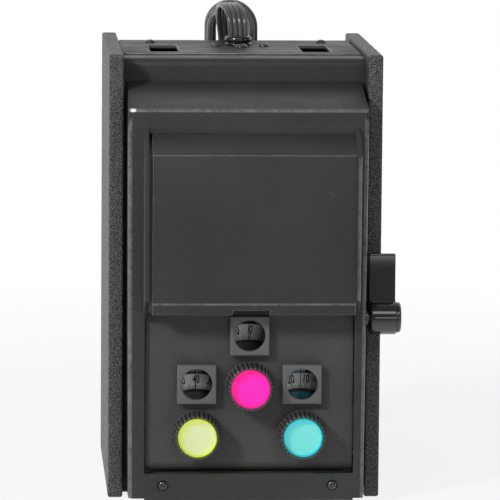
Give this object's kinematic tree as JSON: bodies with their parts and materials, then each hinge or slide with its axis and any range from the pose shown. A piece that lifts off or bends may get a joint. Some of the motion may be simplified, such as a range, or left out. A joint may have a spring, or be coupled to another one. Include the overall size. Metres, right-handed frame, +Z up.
{
  "type": "enlarger color head",
  "caption": "Photographic enlarger color head: black two-cheek case, front control panel with filter knobs, dial windows and a side light lever.",
  "frame": {"origin": "centre of the light exit at the seat under the base plate, on the optical axis", "axes": "+Z up along the optical axis towards the top of the case; the controls face -Y; +X is the lever's side"},
  "size_m": [0.1811, 0.2659, 0.3012],
  "materials": {
    "panel_paint": "moulded cheek with a rough textured black coat",
    "chassis_paint": "satin black paint",
    "plate_paint": "satin dark grey paint",
    "cover_paint": "satin black paint",
    "steel": "plated",
    "black_steel": "black oxide",
    "brass": "turned",
    "bezel_plastic": "satin grey",
    "clear_glass": "clear",
    "black_plastic": "moulded",
    "grey_plastic": "moulded",
    "gloss_black": "gloss",
    "knob_plastic": "fluted, semi-gloss",
    "yellow_cap": "coloured disc",
    "magenta_cap": "coloured disc",
    "cyan_cap": "coloured disc",
    "dial_aluminium": "printed dial",
    "aluminium": "mill finish",
    "yellow_glass": "coated glass",
    "magenta_glass": "coated glass",
    "cyan_glass": "coated glass",
    "lamp_mirror": "cold-mirror coating",
    "ceramic": "glazed ceramic",
    "white_foam": "matt white foam",
    "opal": "opal acrylic",
    "black_rubber": "moulded",
    "lead_rubber": "satin, ribbed along its four cores",
    "strap": "woven strap"
  },
  "bodies": {
    "case": {"side_panel_left": "panel_paint", "side_panel_right": "panel_paint", "chassis": "chassis_paint", "top_plate": "plate_paint", "rear_cover": "chassis_paint", "base_plate": "chassis_paint", "front_bracket": "chassis_paint", "front_cover": "cover_paint", "name_panel": "cover_paint", "control_plate": "chassis_paint", "plate_standoffs": "steel", "dial_bezels": "bezel_plastic", "window_lenses": "clear_glass", "window_cursors": "black_plastic", "shaft_bushes": "brass", "lever_bushes": "black_steel", "filter_guides": "grey_plastic", "attenuator_guides": "grey_plastic", "lamp": "lamp_mirror", "lamp_socket": "ceramic", "lamp_bracket": "steel", "heat_glass": "clear_glass", "heat_glass_ring": "aluminium", "light_tunnel": "aluminium", "mixing_chamber": "aluminium", "chamber_lining": "white_foam", "diffuser": "opal", "fan_frame": "black_plastic", "terminal_block": "ceramic", "case_screws": "black_steel", "cover_screws": "black_steel", "strain_relief": "black_rubber", "cord_clip": "steel", "power_lead": "lead_rubber", "lead_hank": "lead_rubber", "lead_tail": "lead_rubber", "lead_connector": "black_plastic", "hank_tie": "strap"},
    "yellow_control": {"yellow_knob": "knob_plastic", "yellow_cap": "yellow_cap", "yellow_shaft": "steel", "yellow_dial": "dial_aluminium"},
    "yellow_carrier": {"yellow_slide": "aluminium", "yellow_filter": "yellow_glass"},
    "magenta_control": {"magenta_knob": "knob_plastic", "magenta_cap": "magenta_cap", "magenta_shaft": "steel", "magenta_dial": "dial_aluminium"},
    "magenta_carrier": {"magenta_slide": "aluminium", "magenta_filter": "magenta_glass"},
    "cyan_control": {"cyan_knob": "knob_plastic", "cyan_cap": "cyan_cap", "cyan_shaft": "steel", "cyan_dial": "dial_aluminium"},
    "cyan_carrier": {"cyan_slide": "aluminium", "cyan_filter": "cyan_glass"},
    "light_control": {"light_lever": "gloss_black", "lever_sector": "steel"},
    "attenuator": {"attenuator_slide": "aluminium"},
    "fan": {"fan_rotor": "black_plastic"}
  },
  "joints": [
    {"name": "yellow_turn", "type": "hinge", "parent": "case", "child": "yellow_control", "pos_m": [-0.0311, -0.13, 0.0453], "axis": [0, 1, 0], "range_deg": [-60, 210]},
    {"name": "yellow_lift", "type": "slide", "parent": "case", "child": "yellow_carrier", "axis": [0, 0, 1], "range_m": [-0.00787, 0.02751]},
    {"name": "magenta_turn", "type": "hinge", "parent": "case", "child": "magenta_control", "pos_m": [0.0015, -0.13, 0.0756], "axis": [0, 1, 0], "range_deg": [0, 270]},
    {"name": "magenta_lift", "type": "slide", "parent": "case", "child": "magenta_carrier", "axis": [0, 0, 1], "range_m": [0, 0.03536]},
    {"name": "cyan_turn", "type": "hinge", "parent": "case", "child": "cyan_control", "pos_m": [0.0341, -0.13, 0.0453], "axis": [0, 1, 0], "range_deg": [-20, 250]},
    {"name": "cyan_lift", "type": "slide", "parent": "case", "child": "cyan_carrier", "axis": [0, 0, 1], "range_m": [-0.00264, 0.03274]},
    {"name": "light_lever_turn", "type": "hinge", "parent": "case", "child": "light_control", "pos_m": [0.077, -0.124, 0.116], "axis": [1, 0, 0], "range_deg": [0, 90]},
    {"name": "attenuator_lift", "type": "slide", "parent": "case", "child": "attenuator", "axis": [0, 0, 1], "range_m": [0, 0.0393]},
    {"name": "fan_spin", "type": "hinge", "parent": "case", "child": "fan", "pos_m": [0, 0.048, 0.224], "axis": [0, 1, 0], "continuous": true}
  ],
  "couplings": [
    {"joint": "yellow_lift", "follows": "yellow_turn", "m_per_rad": 0.0075},
    {"joint": "magenta_lift", "follows": "magenta_turn", "m_per_rad": 0.0075},
    {"joint": "cyan_lift", "follows": "cyan_turn", "m_per_rad": 0.0075},
    {"joint": "attenuator_lift", "follows": "light_lever_turn", "m_per_rad": 0.025}
  ]
}
